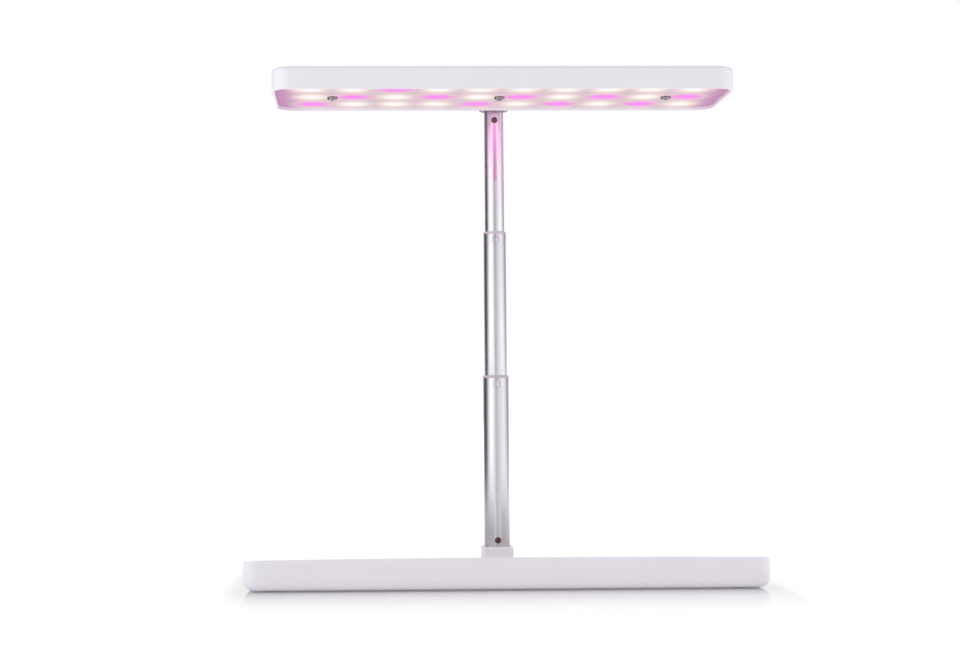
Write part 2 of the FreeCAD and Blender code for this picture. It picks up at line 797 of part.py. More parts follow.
def driver_board():
    """The lamp's driver: a board with its coil, capacitor and chips."""
    x0, x1, y0, y1 = driver_box()
    board = block(x0, x1, y0, y1, driver_z, driver_top_z)
    board = board.cut([rod_z(small_shank_radius + small_hole_gap, x, y, driver_z - 1, driver_top_z + 1)
                       for x, y in driver_screw_places()])
    room = roof_z - driver_top_z
    middle = (y0 + y1) / 2.0
    coil_top = driver_top_z + room * coil_height_share
    parts = [rod_z(coil_radius, x0 + coil_from_left, middle, driver_z, coil_top)]
    for from_left, width, from_middle, depth, height in chips:
        parts.append(block(x0 + from_left, x0 + from_left + width, middle + from_middle,
                           middle + from_middle + depth, driver_z, driver_top_z + height))
    right = x1 - connector_from_right
    front = middle - connector_forward
    parts.append(block(right - connector_width, right, front, front + connector_depth,
                       driver_z, driver_top_z + connector_height))
    return fused([board] + parts)


def button_board():
    """A small board with the push switch under the power button."""
    half_x = button_board_width / 2.0
    half_y = button_board_depth / 2.0
    board = block(power_button_x - half_x, power_button_x + half_x,
                  power_button_y - half_y, power_button_y + half_y, driver_z, driver_top_z)
    board = board.cut([rod_z(small_shank_radius + small_hole_gap, x, y, driver_z - 1, driver_top_z + 1)
                       for x, y in button_screw_places()])
    half = switch_side / 2.0
    switch_top = power_flange_z - switch_gap
    body = block(power_button_x - half, power_button_x + half, power_button_y - half, power_button_y + half,
                 driver_z, switch_top - plunger_height)
    plunger = rod_z(plunger_radius, power_button_x, power_button_y, driver_z, switch_top)
    return fused([board, body, plunger])


def power_button():
    cap = rod_z(power_radius, power_button_x, power_button_y, power_flange_z, power_top_z)
    cap = round_edges(cap, power_edge_radius, lies_at(power_top_z))
    flange = rod_z(power_radius + power_flange_step, power_button_x, power_button_y,
                   power_flange_z, power_flange_z + power_flange_thickness)
    dish = Part.makeSphere(dish_radius, Vector(power_button_x, power_button_y,
                                               power_top_z + dish_radius - dish_depth))
    return cap.fuse(flange).cut(dish).removeSplitter()


def inlet_z():
    return (spreader_top_z + roof_z) / 2.0


def dc_inlet():
    """The round socket for the power lead, in the back wall."""
    z = inlet_z()
    mouth = head_back_y + inlet_flange_height
    body = rod_y(inlet_radius, inlet_x, mouth - inlet_length, mouth, z)
    flange = rod_y(inlet_flange_radius, inlet_x, head_back_y, mouth, z)
    bore = rod_y(inlet_bore_radius, inlet_x, mouth - inlet_bore_depth, mouth + 1, z)
    pin = rod_y(inlet_pin_radius, inlet_x, mouth - inlet_length, mouth - inlet_pin_set_back, z)
    return body.fuse(flange).cut(bore).fuse(pin).removeSplitter()


def wire(points):
    """A short lead through the points, with round corners."""
    pieces = []
    for first, last in zip(points[:-1], points[1:]):
        run = last.sub(first)
        pieces.append(Part.makeCylinder(lead_radius, run.Length, first, run))
    pieces += [Part.makeSphere(lead_radius, point) for point in points[1:-1]]
    return fused(pieces)


def inlet_leads():
    x0, x1, y0, y1 = driver_box()
    start_y = head_back_y + inlet_flange_height - inlet_length
    z_end = driver_top_z + lead_radius
    wires = []
    for side in (-1, 1):
        x = inlet_x + side * lead_spread
        y = y1 - lead_from_board_back + side * lead_spread
        wires.append(wire([
            Vector(x, start_y, inlet_z()),
            Vector(x, y, inlet_z()),
            Vector(x1 + lead_reach, y, z_end),
            Vector(x1 - lead_reach, y, z_end),
        ]))
    return group(wires)


def led_leads():
    return group([rod_z(lead_radius, x, y, spreader_z, driver_z) for x, y in led_lead_places()])


save("base_tray", base_tray())
save("rubber_feet", rubber_feet())
save("growing_grid_left", growing_grid(-1))
save("growing_grid_right", growing_grid(1))
save("pole_socket", pole_socket())
save("socket_screws", socket_screws())
save("lower_tube", lower_tube())
save("lower_fixing_screw", fixing_screw(lower_radius, lower_fixing_z))
save("lower_guide_bush", guide_bush(lower_radius, middle_radius, lower_top_z, lower_bush_lip))
save("middle_tube", middle_tube())
save("middle_end_sleeve", end_sleeve(lower_radius, middle_radius, middle_foot_z))
save("lower_snap_button", snap_button(lower_radius, middle_radius, lower_button_z))
save("lower_snap_spring", snap_spring(middle_radius, lower_button_z))
save("upper_guide_bush", guide_bush(middle_radius, upper_radius, middle_top_z, upper_bush_lip))
save("upper_tube", upper_tube())
save("upper_end_sleeve", end_sleeve(middle_radius, upper_radius, upper_foot_z))
save("upper_snap_button", snap_button(middle_radius, upper_radius, upper_button_z))
save("upper_snap_spring", snap_spring(upper_radius, upper_button_z))
save("upper_fixing_screw", fixing_screw(upper_radius, upper_fixing_z))
save("head_bracket", head_bracket())
save("bracket_screws", small_screws(bracket_screw_places(), plate_z, bracket_plate_thickness))
save("head_housing", head_housing())
save("heat_spreader", heat_spreader())
save("led_board", led_board())
save("white_leds", leds("W"))
save("pink_leds", leds("P"))
save("diffuser", diffuser())
save("diffuser_spacers", diffuser_spacers())
save("diffuser_screws", diffuser_screws())
save("driver_board", driver_board())
save("board_screws", small_screws(driver_screw_places() + button_screw_places(), driver_z, board_thickness))
save("button_board", button_board())
save("power_button", power_button())
save("dc_inlet", dc_inlet())
save("inlet_leads", inlet_leads())
save("led_leads", led_leads())
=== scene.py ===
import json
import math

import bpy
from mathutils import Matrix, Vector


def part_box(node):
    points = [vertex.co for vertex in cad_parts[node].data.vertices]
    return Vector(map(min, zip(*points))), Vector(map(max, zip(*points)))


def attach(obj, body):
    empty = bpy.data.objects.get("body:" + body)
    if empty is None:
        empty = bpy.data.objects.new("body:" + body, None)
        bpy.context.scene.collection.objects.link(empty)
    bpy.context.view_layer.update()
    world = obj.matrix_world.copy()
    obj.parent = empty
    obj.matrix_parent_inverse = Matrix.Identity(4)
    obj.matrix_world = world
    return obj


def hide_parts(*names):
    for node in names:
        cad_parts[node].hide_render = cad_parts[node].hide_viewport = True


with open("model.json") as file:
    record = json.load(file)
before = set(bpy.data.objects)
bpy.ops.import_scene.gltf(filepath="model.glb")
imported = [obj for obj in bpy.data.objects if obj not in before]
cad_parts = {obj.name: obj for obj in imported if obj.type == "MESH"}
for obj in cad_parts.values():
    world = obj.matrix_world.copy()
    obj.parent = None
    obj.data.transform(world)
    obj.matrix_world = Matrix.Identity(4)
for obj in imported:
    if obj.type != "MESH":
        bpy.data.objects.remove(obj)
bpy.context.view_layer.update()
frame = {"nodes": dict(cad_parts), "record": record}

# %% [markdown]
# # A countertop hydroponic garden
#
# A shallow white tray holds water and two lift-out growing grids. A telescopic pole of satin
# aluminium stands in a square socket at its back and carries a level lamp head.
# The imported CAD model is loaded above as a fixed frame: its nodes stay where they are, and this
# file gives them finishes and adds finer pieces where the eye comes close.

MM = 0.001
nodes = frame["nodes"]

# %% [markdown]
# ## The camera
#
# The photograph looks slightly up at the head and slightly down at the tray, from a little left.
# Its place was solved from the corners of the head and the tray, the rows of lights and the
# screws of the pole. The camera faces the set nearly straight on from a place left of its middle,
# so the picture is framed with a small sideways shift. The camera is built from three directions:
# where it looks, its right and its up.

# %% Camera
FRAME_WIDTH = 960
CAMERA_X = -129.6 * MM
CAMERA_Z = 158.7 * MM
CAMERA_DISTANCE = 1702.8 * MM
YAW = -0.02381
PITCH = 0.05143
ROLL = -0.00569
FOCAL_PIXELS = 1740.9
SHIFT_PIXELS = 75.4
SENSOR = 36.0

pole_low, pole_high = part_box("lower_tube")
pole_y = (pole_low.y + pole_high.y) / 2.0

looks = Vector((-math.sin(YAW) * math.cos(PITCH), math.cos(YAW) * math.cos(PITCH), math.sin(PITCH)))
level_right = Vector((math.cos(YAW), math.sin(YAW), 0.0))
level_up = level_right.cross(looks)
right = level_right * math.cos(ROLL) + level_up * math.sin(ROLL)
up = level_up * math.cos(ROLL) - level_right * math.sin(ROLL)

lens = bpy.data.cameras.new("photo_camera")
lens.sensor_width = SENSOR
lens.sensor_fit = "HORIZONTAL"
lens.lens = FOCAL_PIXELS * SENSOR / FRAME_WIDTH
lens.shift_x = SHIFT_PIXELS / FRAME_WIDTH
camera = bpy.data.objects.new("photo_camera", lens)
bpy.context.scene.collection.objects.link(camera)
turn = Matrix((right, up, -looks)).transposed().to_4x4()
camera.matrix_world = Matrix.Translation((CAMERA_X, pole_y - CAMERA_DISTANCE, CAMERA_Z)) @ turn
bpy.context.scene.camera = camera
print("camera lens", round(lens.lens, 1), "mm")

# %% [markdown]
# ## Small helpers for materials
#
# A finish is a node tree with one Principled shader. Every pattern reads Object coordinates, so it
# is fixed to the piece and has its real size in metres. Three short helpers keep the trees
# readable: one adds a node, one links two sockets, and one starts a new finish.

# %% Material helpers
def add_node(tree, kind, **settings):
    node = tree.nodes.new(kind)
    for name, value in settings.items():
        setattr(node, name, value)
    return node


def set_inputs(node, **values):
    for name, value in values.items():
        node.inputs[name.replace("_", " ")].default_value = value
    return node


def new_finish(name, colour, roughness, metallic=0.0):
    finish = bpy.data.materials.new(name)
    finish.use_nodes = True
    shader = finish.node_tree.nodes["Principled BSDF"]
    set_inputs(shader, Base_Color=(*colour, 1.0), Roughness=roughness, Metallic=metallic)
    return finish, finish.node_tree, shader


def linear(red, green, blue):
    """An 8 bit screen colour as the linear colour that Blender works in."""
    def channel(value):
        value /= 255.0
        return value / 12.92 if value <= 0.04045 else ((value + 0.055) / 1.055) ** 2.4
    return channel(red), channel(green), channel(blue)


print("helpers ready")

# %% [markdown]
# ## Effects that several finishes share
#
# Moulded plastic is never one flat colour: the tool's spark-eroded skin gives a fine grain, and the
# resin has soft clouds in it. Both go into one node group, built once. Drawn aluminium has long
# fine lines along the tube. Handling leaves faint smudges that change the gloss. Each effect is a
# group with named inputs, and each finish places it with its own values.

# %% Shared node groups
def new_group(name, inputs, outputs):
    group = bpy.data.node_groups.new(name, "ShaderNodeTree")
    for label, kind, value in inputs:
        socket = group.interface.new_socket(name=label, in_out="INPUT", socket_type=kind)
        socket.default_value = value
    for label, kind in outputs:
        group.interface.new_socket(name=label, in_out="OUTPUT", socket_type=kind)
    start = add_node(group, "NodeGroupInput")
    end = add_node(group, "NodeGroupOutput")
    return group, start, end


FLOAT = "NodeSocketFloat"
COLOUR = "NodeSocketColor"


def moulded_skin():
    """Fine grain, slow clouds in the colour, and smudges in the gloss."""
    group, start, end = new_group(
        "moulded_skin",
        [("Colour", COLOUR, (0.8, 0.8, 0.8, 1.0)), ("Cloud", FLOAT, 0.04), ("Grain Size", FLOAT, 0.0006),
         ("Roughness", FLOAT, 0.4), ("Smudge", FLOAT, 0.08)],
        [("Colour", COLOUR), ("Roughness", FLOAT), ("Height", FLOAT)])
    links = group.links
    place = add_node(group, "ShaderNodeTexCoord")
    grain_scale = add_node(group, "ShaderNodeMath", operation="DIVIDE")
    grain_scale.inputs[0].default_value = 1.0
    links.new(start.outputs["Grain Size"], grain_scale.inputs[1])
    grain = set_inputs(add_node(group, "ShaderNodeTexNoise"), Detail=3.0, Roughness=0.6)
    links.new(place.outputs["Object"], grain.inputs["Vector"])
    links.new(grain_scale.outputs[0], grain.inputs["Scale"])
    links.new(grain.outputs["Fac"], end.inputs["Height"])

    cloud = set_inputs(add_node(group, "ShaderNodeTexNoise"), Scale=14.0, Detail=4.0)
    links.new(place.outputs["Object"], cloud.inputs["Vector"])
    shade = add_node(group, "ShaderNodeMapRange")
    set_inputs(shade, From_Min=0.3, From_Max=0.7, To_Max=1.0)
    links.new(cloud.outputs["Fac"], shade.inputs["Value"])
    darker = add_node(group, "ShaderNodeMath", operation="SUBTRACT")
    darker.inputs[0].default_value = 1.0
    links.new(start.outputs["Cloud"], darker.inputs[1])
    links.new(darker.outputs[0], shade.inputs["To Min"])
    tint = add_node(group, "ShaderNodeVectorMath", operation="SCALE")
    links.new(start.outputs["Colour"], tint.inputs[0])
    links.new(shade.outputs["Result"], tint.inputs["Scale"])
    links.new(tint.outputs[0], end.inputs["Colour"])

    smudge = set_inputs(add_node(group, "ShaderNodeTexNoise"), Scale=46.0, Detail=2.0, Distortion=0.8)
    links.new(place.outputs["Object"], smudge.inputs["Vector"])
    centred = add_node(group, "ShaderNodeMath", operation="SUBTRACT")
    centred.inputs[1].default_value = 0.5
    links.new(smudge.outputs["Fac"], centred.inputs[0])
    amount = add_node(group, "ShaderNodeMath", operation="MULTIPLY_ADD")
    links.new(centred.outputs[0], amount.inputs[0])
    links.new(start.outputs["Smudge"], amount.inputs[1])
    links.new(start.outputs["Roughness"], amount.inputs[2])
    links.new(amount.outputs[0], end.inputs["Roughness"])
    return group


def drawn_lines():
    """Fine lines along one direction, for drawn, brushed or milled metal."""
    group, start, end = new_group(
        "drawn_lines",
        [("Across", FLOAT, 2600.0), ("Along", FLOAT, 12.0), ("Roughness", FLOAT, 0.3),
         ("Spread", FLOAT, 0.1), ("Lines Along X", FLOAT, 0.0)],
        [("Roughness", FLOAT), ("Height", FLOAT)])
    links = group.links
    place = add_node(group, "ShaderNodeTexCoord")
    upright = add_node(group, "ShaderNodeCombineXYZ")
    links.new(start.outputs["Across"], upright.inputs["X"])
    links.new(start.outputs["Across"], upright.inputs["Y"])
    links.new(start.outputs["Along"], upright.inputs["Z"])
    level = add_node(group, "ShaderNodeCombineXYZ")
    links.new(start.outputs["Along"], level.inputs["X"])
    links.new(start.outputs["Across"], level.inputs["Y"])
    links.new(start.outputs["Across"], level.inputs["Z"])
    chosen = add_node(group, "ShaderNodeMix", data_type="VECTOR")
    links.new(start.outputs["Lines Along X"], chosen.inputs["Factor"])
    links.new(upright.outputs[0], chosen.inputs[4])
    links.new(level.outputs[0], chosen.inputs[5])
    stretched = add_node(group, "ShaderNodeVectorMath", operation="MULTIPLY")
    links.new(place.outputs["Object"], stretched.inputs[0])
    links.new(chosen.outputs[1], stretched.inputs[1])
    lines = set_inputs(add_node(group, "ShaderNodeTexNoise"), Scale=1.0, Detail=3.0)
    links.new(stretched.outputs[0], lines.inputs["Vector"])
    links.new(lines.outputs["Fac"], end.inputs["Height"])
    centred = add_node(group, "ShaderNodeMath", operation="SUBTRACT")
    centred.inputs[1].default_value = 0.5
    links.new(lines.outputs["Fac"], centred.inputs[0])
    amount = add_node(group, "ShaderNodeMath", operation="MULTIPLY_ADD")
    links.new(centred.outputs[0], amount.inputs[0])
    links.new(start.outputs["Spread"], amount.inputs[1])
    links.new(start.outputs["Roughness"], amount.inputs[2])
    links.new(amount.outputs[0], end.inputs["Roughness"])
    return group


skin_group = moulded_skin()
lines_group = drawn_lines()
print("groups", skin_group.name, lines_group.name)

# %% [markdown]
# ## Plastics
#
# One function makes every moulded finish. The white of the tray and the head is a cool, slightly
# violet white with a satin skin. The grids and small parts are a matter white, the guide bushes a
# pale rose plastic, and the feet black rubber.

# %% Moulded finishes
def moulded(name, colour, roughness, cloud=0.04, grain=0.0006, depth=0.00002, smudge=0.08):
    finish, tree, shader = new_finish(name, colour, roughness)
    skin = add_node(tree, "ShaderNodeGroup", node_tree=skin_group)
    set_inputs(skin, Colour=(*colour, 1.0), Cloud=cloud, Grain_Size=grain, Roughness=roughness,
               Smudge=smudge)
    bump = set_inputs(add_node(tree, "ShaderNodeBump"), Strength=0.6, Distance=depth)
    tree.links.new(skin.outputs["Colour"], shader.inputs["Base Color"])
    tree.links.new(skin.outputs["Roughness"], shader.inputs["Roughness"])
    tree.links.new(skin.outputs["Height"], bump.inputs["Height"])
    tree.links.new(bump.outputs["Normal"], shader.inputs["Normal"])
    return finish


finishes = {
    "white_plastic": moulded("white_plastic", linear(248, 244, 252), 0.42, cloud=0.025),
    "grid_plastic": moulded("grid_plastic", linear(236, 236, 233), 0.55, cloud=0.05),
    "bush_plastic": moulded("bush_plastic", linear(206, 190, 206), 0.45),
    "dark_plastic": moulded("dark_plastic", linear(38, 38, 41), 0.45, cloud=0.15),
    "rubber": moulded("rubber", linear(44, 44, 46), 0.75, cloud=0.2, grain=0.0004, smudge=0.15),
    "lead_sleeve": moulded("lead_sleeve", linear(150, 32, 30), 0.4, cloud=0.1),
    "board_green": moulded("board_green", linear(28, 92, 58), 0.35, cloud=0.25, grain=0.0012),
    "board_white": moulded("board_white", linear(238, 238, 234), 0.4, cloud=0.06, grain=0.0012),
}
print(len(finishes), "moulded finishes")

# %% [markdown]
# ## Metals
#
# The tubes are drawn and anodised, so their fine lines run up the pole. The bracket is cast and
# painted dark grey, the pan-head screws are bright, and the two screws that fix the pole are
# burnished dark. The plate behind the lights is milled, with its lines from side to side.

# %% Metal finishes
def drawn_metal(name, colour, roughness, spread=0.1, across=2600.0, along=12.0, level=0.0,
                depth=0.000004):
    finish, tree, shader = new_finish(name, colour, roughness, metallic=1.0)
    lines = add_node(tree, "ShaderNodeGroup", node_tree=lines_group)
    set_inputs(lines, Across=across, Along=along, Roughness=roughness, Spread=spread,
               Lines_Along_X=level)
    skin = add_node(tree, "ShaderNodeGroup", node_tree=skin_group)
    set_inputs(skin, Colour=(*colour, 1.0), Cloud=0.05, Roughness=roughness)
    bump = set_inputs(add_node(tree, "ShaderNodeBump"), Strength=0.5, Distance=depth)
    tree.links.new(skin.outputs["Colour"], shader.inputs["Base Color"])
    tree.links.new(lines.outputs["Roughness"], shader.inputs["Roughness"])
    tree.links.new(lines.outputs["Height"], bump.inputs["Height"])
    tree.links.new(bump.outputs["Normal"], shader.inputs["Normal"])
    return finish


finishes["pole_aluminium"] = drawn_metal("pole_aluminium", linear(206, 205, 209), 0.36)
finishes["heat_aluminium"] = drawn_metal("heat_aluminium", linear(200, 200, 203), 0.35, level=1.0)
finishes["spring_steel"] = drawn_metal("spring_steel", linear(222, 212, 226), 0.3, across=1800.0)
finishes["bright_screw"] = drawn_metal("bright_screw", linear(140, 136, 142), 0.12, spread=0.06)
finishes["dark_screw"] = drawn_metal("dark_screw", linear(112, 78, 84), 0.32, across=1500.0)
finishes["bracket_metal"] = moulded("bracket_metal", linear(98, 96, 102), 0.38, cloud=0.12,
                                    grain=0.0009)
print(len(finishes), "finishes so far")

# %% [markdown]
# ## The lit diffuser
#
# Behind the frosted sheet sit three rows of ten lights. Each throws a soft round pool on the sheet,
# white with a warm fringe or pink. The pools are worked out from the place on the sheet: the
# nearest column and row give the distance to a light, and a few comparisons say which are pink.
# The near row has one pink light, the middle row has every second one, and the far row has four.

# %% Diffuser finish
LED_PITCH_X = 39.4 * MM
LED_PITCH_Y = 37.0 * MM
COLUMNS = 10
sheet_low, sheet_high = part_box("diffuser")
sheet_middle_y = (sheet_low.y + sheet_high.y) / 2.0
WARM_WHITE = linear(255, 253, 247)
WARM_FRINGE = linear(244, 222, 216)
PINK = linear(254, 146, 248)
PINK_FRINGE = linear(236, 158, 222)
SHEET_GLOW = linear(216, 194, 204)
POOL_SQUEEZE = 0.72
SHEET_PINK = linear(222, 152, 204)
SHEET_EDGE = linear(196, 142, 182)
CORE_RADII = (3.0 * MM, 16.0 * MM)
HALO_RADII = (9.0 * MM, 26.0 * MM)
PINK_RADII = (6.0 * MM, 18.5 * MM)
EDGE_BAND = 30.0 * MM
# Painted lamp spill on the top of the pole: pink painted into its colour and a faint painted glow,
# growing with height towards the head.
SPILL_START = 340.0 * MM
SPILL_FULL = 455.0 * MM
SPILL_TINT = 0.45
SPILL_GLOW = 0.08
SPILL_COLOUR = linear(244, 196, 232)
# Painted pink lamp light in the front of the key groove, with soft ends over the blend length.
GROOVE_PAINTED_PINK = linear(226, 166, 204)
GROOVE_PINK_BLEND = 1.5 * MM
GROOVE_WIDTH = 3.4 * MM
GROOVE_DEPTH = 0.4 * MM
GROOVE_TOP = 443.2 * MM
GROOVE_LENGTH = 56.5 * MM


def maths(tree, operation, first, second=None, third=None):
    """A Math node whose inputs are sockets or plain numbers."""
    node = add_node(tree, "ShaderNodeMath", operation=operation)
    for index, value in enumerate((first, second, third)):
        if value is None:
            continue
        if isinstance(value, (int, float)):
            node.inputs[index].default_value = value
        else:
            tree.links.new(value, node.inputs[index])
    return node.outputs[0]


def smooth_fall(tree, value, start, end):
    """1 up to start, 0 beyond end, and a soft step between."""
    node = add_node(tree, "ShaderNodeMapRange", interpolation_type="SMOOTHSTEP")
    set_inputs(node, From_Min=start, From_Max=end, To_Min=1.0, To_Max=0.0)
    tree.links.new(value, node.inputs["Value"])
    return node.outputs["Result"]


def mix_colours(tree, factor, first, second):
    node = add_node(tree, "ShaderNodeMix", data_type="RGBA")
    tree.links.new(factor, node.inputs["Factor"])
    for index, value in ((6, first), (7, second)):
        if isinstance(value, tuple):
            node.inputs[index].default_value = (*value, 1.0)
        else:
            tree.links.new(value, node.inputs[index])
    return node.outputs[2]


def lit_sheet(name):
    finish, tree, shader = new_finish(name, SHEET_GLOW, 0.5)
    place = add_node(tree, "ShaderNodeTexCoord")
    split = add_node(tree, "ShaderNodeSeparateXYZ")
    tree.links.new(place.outputs["Object"], split.inputs[0])
    across = maths(tree, "MULTIPLY_ADD", split.outputs["X"], 1.0 / LED_PITCH_X, (COLUMNS - 1) / 2.0)
    along = maths(tree, "MULTIPLY_ADD", split.outputs["Y"], 1.0 / LED_PITCH_Y,
                  1.0 - sheet_middle_y / LED_PITCH_Y)
    column = maths(tree, "MINIMUM", maths(tree, "MAXIMUM", maths(tree, "ROUND", across), 0.0),
                   COLUMNS - 1.0)
    row = maths(tree, "MINIMUM", maths(tree, "MAXIMUM", maths(tree, "ROUND", along), 0.0), 2.0)
    off_x = maths(tree, "MULTIPLY", maths(tree, "SUBTRACT", across, column), LED_PITCH_X)
    off_y = maths(tree, "MULTIPLY", maths(tree, "SUBTRACT", along, row), LED_PITCH_Y)
    distance = maths(tree, "SQRT", maths(tree, "ADD", maths(tree, "MULTIPLY", off_x, off_x),
                                         maths(tree, "MULTIPLY", off_y, off_y)))

    wave = maths(tree, "COSINE", maths(tree, "MULTIPLY", across, math.pi))
    even = smooth_fall(tree, maths(tree, "MULTIPLY", wave, -1.0), -0.4, 0.4)
    odd = smooth_fall(tree, wave, -0.4, 0.4)
    third_column = smooth_fall(tree, maths(tree, "ABSOLUTE", maths(tree, "SUBTRACT", across, 2.0)),
                               0.35, 0.75)
    near_pink = maths(tree, "MULTIPLY", maths(tree, "COMPARE", row, 0.0, 0.1), third_column)
    middle_pink = maths(tree, "MULTIPLY", maths(tree, "COMPARE", row, 1.0, 0.1), odd)
    far_pink = maths(tree, "MULTIPLY", maths(tree, "COMPARE", row, 2.0, 0.1),
                     maths(tree, "SUBTRACT", even, third_column))
    pink = maths(tree, "ADD", maths(tree, "ADD", near_pink, middle_pink), far_pink)

    core = smooth_fall(tree, distance, *CORE_RADII)
    halo = smooth_fall(tree, distance, *HALO_RADII)
    to_side = maths(tree, "ABSOLUTE", split.outputs["X"])
    inside_x = smooth_fall(tree, to_side, sheet_high.x - EDGE_BAND, sheet_high.x)
    squeezed_x = maths(tree, "MULTIPLY", off_x, POOL_SQUEEZE)
    oval = maths(tree, "SQRT", maths(tree, "ADD", maths(tree, "MULTIPLY", squeezed_x, squeezed_x),
                                     maths(tree, "MULTIPLY", off_y, off_y)))
    pink_spread = maths(tree, "MULTIPLY", pink, smooth_fall(tree, oval, *PINK_RADII))
    between = mix_colours(tree, pink_spread, SHEET_GLOW, SHEET_PINK)
    base = mix_colours(tree, inside_x, SHEET_EDGE, between)
    fringe = mix_colours(tree, pink_spread, WARM_FRINGE, PINK_FRINGE)
    heart = mix_colours(tree, pink, WARM_WHITE, PINK)
    glow = mix_colours(tree, core, mix_colours(tree, halo, base, fringe), heart)
    tree.links.new(glow, shader.inputs["Emission Color"])
    set_inputs(shader, Emission_Strength=1.0, Base_Color=(0.02, 0.02, 0.02, 1.0),
               Specular_IOR_Level=0.0)

    frost = set_inputs(add_node(tree, "ShaderNodeTexNoise"), Scale=900.0, Detail=2.0)
    tree.links.new(place.outputs["Object"], frost.inputs["Vector"])
    bump = set_inputs(add_node(tree, "ShaderNodeBump"), Strength=0.4, Distance=0.00002)
    tree.links.new(frost.outputs["Fac"], bump.inputs["Height"])
    tree.links.new(bump.outputs["Normal"], shader.inputs["Normal"])
    return finish


def emitter(name, face, glow, strength):
    """The phosphor of a light: a bright grainy face."""
    finish, tree, shader = new_finish(name, face, 0.4)
    place = add_node(tree, "ShaderNodeTexCoord")
    grains = set_inputs(add_node(tree, "ShaderNodeTexNoise"), Scale=3000.0, Detail=2.0)
    tree.links.new(place.outputs["Object"], grains.inputs["Vector"])
    tree.links.new(mix_colours(tree, grains.outputs["Fac"], face, glow), shader.inputs["Base Color"])
    tree.links.new(mix_colours(tree, grains.outputs["Fac"], glow, face), shader.inputs["Emission Color"])
    set_inputs(shader, Emission_Strength=strength)
    return finish


def rise(tree, value, start, end):
    """0 up to start, 1 beyond end, and a soft step between."""
    return maths(tree, "SUBTRACT", 1.0, smooth_fall(tree, value, start, end))


def lit_pole(finish):
    """Painted lamp light on the top of the pole: a pink spill painted into the colour with a faint
    painted glow, strongest as painted pink light in the key groove.
    """
    tree = finish.node_tree
    shader = tree.nodes["Principled BSDF"]
    drawn = shader.inputs["Base Color"].links[0].from_socket
    place = add_node(tree, "ShaderNodeTexCoord")
    split = add_node(tree, "ShaderNodeSeparateXYZ")
    tree.links.new(place.outputs["Object"], split.inputs[0])
    height = split.outputs["Z"]
    near_lamp = rise(tree, height, SPILL_START, SPILL_FULL)
    beside = maths(tree, "ABSOLUTE", split.outputs["X"])
    # Mask of the painted pink light: the front of the key groove below its top.
    groove = maths(tree, "MULTIPLY", smooth_fall(tree, beside, GROOVE_WIDTH * 0.3, GROOVE_WIDTH * 0.55),
                   maths(tree, "MULTIPLY", rise(tree, height, GROOVE_TOP - GROOVE_LENGTH,
                                                GROOVE_TOP - GROOVE_LENGTH + GROOVE_PINK_BLEND),
                         smooth_fall(tree, height, GROOVE_TOP - GROOVE_PINK_BLEND, GROOVE_TOP)))
    front = maths(tree, "LESS_THAN", split.outputs["Y"], pole_y)
    groove = maths(tree, "MULTIPLY", groove, front)
    # Painted light: the lamp's pink spill is mixed into the base colour near the head.
    colour = mix_colours(tree, maths(tree, "MULTIPLY", near_lamp, SPILL_TINT), drawn, SPILL_COLOUR)
    # Painted light: the front of the key groove gets painted pink lamp light.
    tree.links.new(mix_colours(tree, groove, colour, GROOVE_PAINTED_PINK), shader.inputs["Base Color"])
    # Painted glow: the pole itself emits a faint pink near the head.
    tree.links.new(maths(tree, "MULTIPLY", near_lamp, SPILL_GLOW), shader.inputs["Emission Strength"])
    set_inputs(shader, Emission_Color=(*SPILL_COLOUR, 1.0))
    return finish


lit_pole(finishes["pole_aluminium"])
finishes["clear_plastic"] = lit_sheet("clear_plastic")
finishes["led_white"] = emitter("led_white", linear(250, 232, 190), WARM_WHITE, 2.0)
finishes["led_pink"] = emitter("led_pink", linear(240, 150, 210), PINK, 2.0)
print("all finishes", sorted(finishes))

# %% [markdown]
# ## Dressing the CAD nodes
#
# The record names a material slot for each node, so the right finish follows from it. The mesh of a
# CAD node is left as it is: only what sits in its material slots is exchanged.

# %% Assign finishes
slot_of = {part["node"]: part["material_slot"] for part in frame["record"]["subparts"]}
for name, piece in nodes.items():
    piece.data.materials.clear()
    piece.data.materials.append(finishes[slot_of[name]])
print(len(nodes), "nodes dressed")

# %% [markdown]
# ## Modelling helpers
#
# New pieces are modelled as by hand: a primitive is added, shaped with operators, and finished with
# modifiers that are then applied. An operator acts on everything that is selected, so each piece
# starts from an empty selection. At the end a piece lies at the origin with its place in its mesh.

# %% Piece helpers
def start_fresh():
    if bpy.context.object and bpy.context.object.mode != "OBJECT":
        bpy.ops.object.mode_set(mode="OBJECT")
    bpy.ops.object.select_all(action="DESELECT")


def only(piece):
    start_fresh()
    piece.select_set(True)
    bpy.context.view_layer.objects.active = piece
    return piece


def apply_modifier(piece, kind, **settings):
    only(piece)
    modifier = piece.modifiers.new(kind.lower(), kind)
    for name, value in settings.items():
        setattr(modifier, name, value)
    bpy.ops.object.modifier_apply(modifier=modifier.name)


def cut_with(piece, cutter):
    """Take the cutter's shape out of the piece, and delete the cutter."""
    apply_modifier(piece, "BOOLEAN", operation="DIFFERENCE", solver="EXACT", object=cutter)
    bpy.data.objects.remove(cutter)


def settle(piece, name, slot, body, *replaced):
    """Name the piece, smooth it, dress it, and let it stand for its CAD node."""
    only(piece)
    bpy.ops.object.transform_apply(location=True, rotation=True, scale=True)
    bpy.ops.object.shade_smooth_by_angle(angle=math.radians(35.0))
    piece.name = name
    piece.data.name = name
    piece.data.materials.clear()
    piece.data.materials.append(finishes[slot])
    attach(piece, body)
    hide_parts(*replaced)
    print(name, len(piece.data.polygons), "faces")
    return piece


def rod_along_y(radius, centre, length, sides=48):
    start_fresh()
    bpy.ops.mesh.primitive_cylinder_add(vertices=sides, radius=radius, depth=length, location=centre,
                                        rotation=(math.pi / 2.0, 0.0, 0.0))
    return bpy.context.object


def middle_of(node):
    low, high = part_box(node)
    return (low + high) / 2.0


